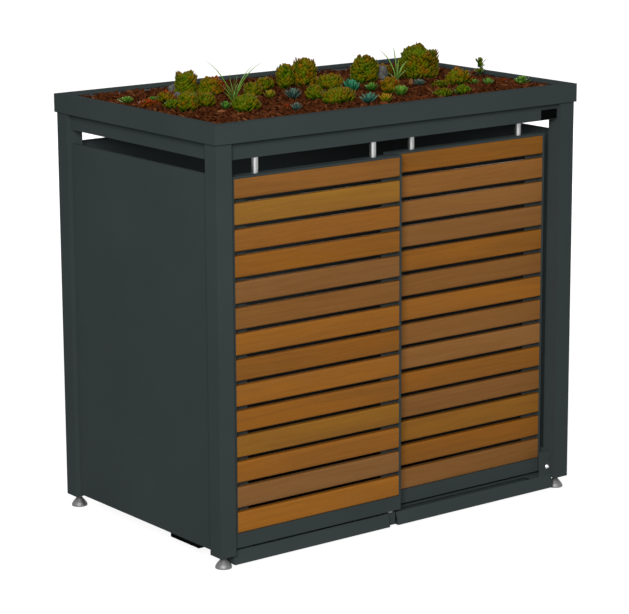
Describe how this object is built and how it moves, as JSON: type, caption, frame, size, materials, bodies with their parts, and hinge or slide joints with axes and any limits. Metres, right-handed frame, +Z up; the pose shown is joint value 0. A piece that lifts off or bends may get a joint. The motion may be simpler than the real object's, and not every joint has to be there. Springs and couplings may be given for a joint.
{
  "type": "wheelie bin store",
  "caption": "Metal store for two wheelie bins with slatted wooden sliding doors hung from a double track, levelling feet and a planted roof tray.",
  "frame": {"origin": "on the ground, under the middle of the roof", "axes": "+X along the front from left to right as seen from the front, +Y from front to back, +Z up"},
  "size_m": [1.394, 0.856, 1.444],
  "materials": {
    "powder_coat": "satin",
    "track_steel": "satin",
    "stainless_steel": "satin",
    "bolt_steel": "satin",
    "screw_steel": "satin",
    "nylon": "matte",
    "slat_wood": "satin",
    "stop_rubber": "matte",
    "tray_aluminium": "satin",
    "mat_plastic": "matte",
    "substrate_stone": "matte",
    "bark": "matte",
    "sedum_leaf": "matte",
    "rosette_leaf": "matte",
    "grass_blade": "matte",
    "grey_stone": "matte",
    "plate_black": "satin"
  },
  "bodies": {
    "frame": {"back_panel": "powder_coat", "bark_mulch": "bark", "blank_plate": "plate_black", "bottom_rail_back": "powder_coat", "bottom_rail_left": "powder_coat", "bottom_rail_right": "powder_coat", "centre_guide_block": "powder_coat", "door_guide_fins": "nylon", "door_track_front": "track_steel", "door_track_rear": "track_steel", "drainage_mat": "mat_plastic", "grass_tufts": "grass_blade", "ground_anchors": "plate_black", "header_channel": "powder_coat", "panel_screws": "screw_steel", "planter_tray": "tray_aluminium", "post_back_left": "powder_coat", "post_back_right": "powder_coat", "post_front_left": "powder_coat", "post_front_right": "powder_coat", "roof_crossbars": "powder_coat", "roof_fascia_back": "powder_coat", "roof_fascia_front": "powder_coat", "roof_fascia_left": "powder_coat", "roof_fascia_right": "powder_coat", "rosette_plants": "rosette_leaf", "sedum_bushes": "sedum_leaf", "side_panel_left": "powder_coat", "side_panel_right": "powder_coat", "stones": "grey_stone", "substrate": "substrate_stone", "threshold_bolts": "bolt_steel", "threshold_left": "powder_coat", "threshold_right": "powder_coat", "top_rail_back": "powder_coat", "top_rail_left": "powder_coat", "top_rail_right": "powder_coat", "track_end_stops": "stop_rubber"},
    "left_door": {"left_door_bottom_rail": "powder_coat", "left_door_hangers": "stainless_steel", "left_door_slat_screws": "screw_steel", "left_door_slat_strips": "powder_coat", "left_door_slats": "slat_wood", "left_door_stiles": "powder_coat", "left_door_top_rail": "powder_coat"},
    "right_door": {"right_door_bottom_rail": "powder_coat", "right_door_hangers": "stainless_steel", "right_door_slat_screws": "screw_steel", "right_door_slat_strips": "powder_coat", "right_door_slats": "slat_wood", "right_door_stiles": "powder_coat", "right_door_top_rail": "powder_coat"},
    "wheels_left_door_left": {"wheels_left_door_left": "nylon"},
    "wheels_left_door_right": {"wheels_left_door_right": "nylon"},
    "wheels_right_door_left": {"wheels_right_door_left": "nylon"},
    "wheels_right_door_right": {"wheels_right_door_right": "nylon"},
    "foot_back_left": {"foot_back_left": "stainless_steel"},
    "foot_back_right": {"foot_back_right": "stainless_steel"},
    "foot_front_left": {"foot_front_left": "stainless_steel"},
    "foot_front_right": {"foot_front_right": "stainless_steel"}
  },
  "joints": [
    {"name": "left_door_slide", "type": "slide", "parent": "frame", "child": "left_door", "axis": [1, 0, 0], "range_m": [0, 0.586]},
    {"name": "right_door_slide", "type": "slide", "parent": "frame", "child": "right_door", "axis": [1, 0, 0], "range_m": [-0.581, 0]},
    {"name": "wheels_left_door_left_roll", "type": "hinge", "parent": "left_door", "child": "wheels_left_door_left", "pos_m": [-0.5332, -0.392, 1.2398], "axis": [0, 1, 0], "continuous": true},
    {"name": "wheels_left_door_right_roll", "type": "hinge", "parent": "left_door", "child": "wheels_left_door_right", "pos_m": [-0.0978, -0.392, 1.2398], "axis": [0, 1, 0], "continuous": true},
    {"name": "wheels_right_door_left_roll", "type": "hinge", "parent": "right_door", "child": "wheels_right_door_left", "pos_m": [0.0853, -0.35, 1.2398], "axis": [0, 1, 0], "continuous": true},
    {"name": "wheels_right_door_right_roll", "type": "hinge", "parent": "right_door", "child": "wheels_right_door_right", "pos_m": [0.5207, -0.35, 1.2398], "axis": [0, 1, 0], "continuous": true},
    {"name": "foot_back_left_screw", "type": "slide", "parent": "frame", "child": "foot_back_left", "axis": [0, 0, -1], "range_m": [0, 0.015]},
    {"name": "foot_back_right_screw", "type": "slide", "parent": "frame", "child": "foot_back_right", "axis": [0, 0, -1], "range_m": [0, 0.015]},
    {"name": "foot_front_left_screw", "type": "slide", "parent": "frame", "child": "foot_front_left", "axis": [0, 0, -1], "range_m": [0, 0.015]},
    {"name": "foot_front_right_screw", "type": "slide", "parent": "frame", "child": "foot_front_right", "axis": [0, 0, -1], "range_m": [0, 0.015]}
  ],
  "couplings": [
    {"joint": "wheels_left_door_left_roll", "follows": "left_door_slide", "rad_per_m": 66.667},
    {"joint": "wheels_left_door_right_roll", "follows": "left_door_slide", "rad_per_m": 66.667},
    {"joint": "wheels_right_door_left_roll", "follows": "right_door_slide", "rad_per_m": 66.667},
    {"joint": "wheels_right_door_right_roll", "follows": "right_door_slide", "rad_per_m": 66.667}
  ]
}
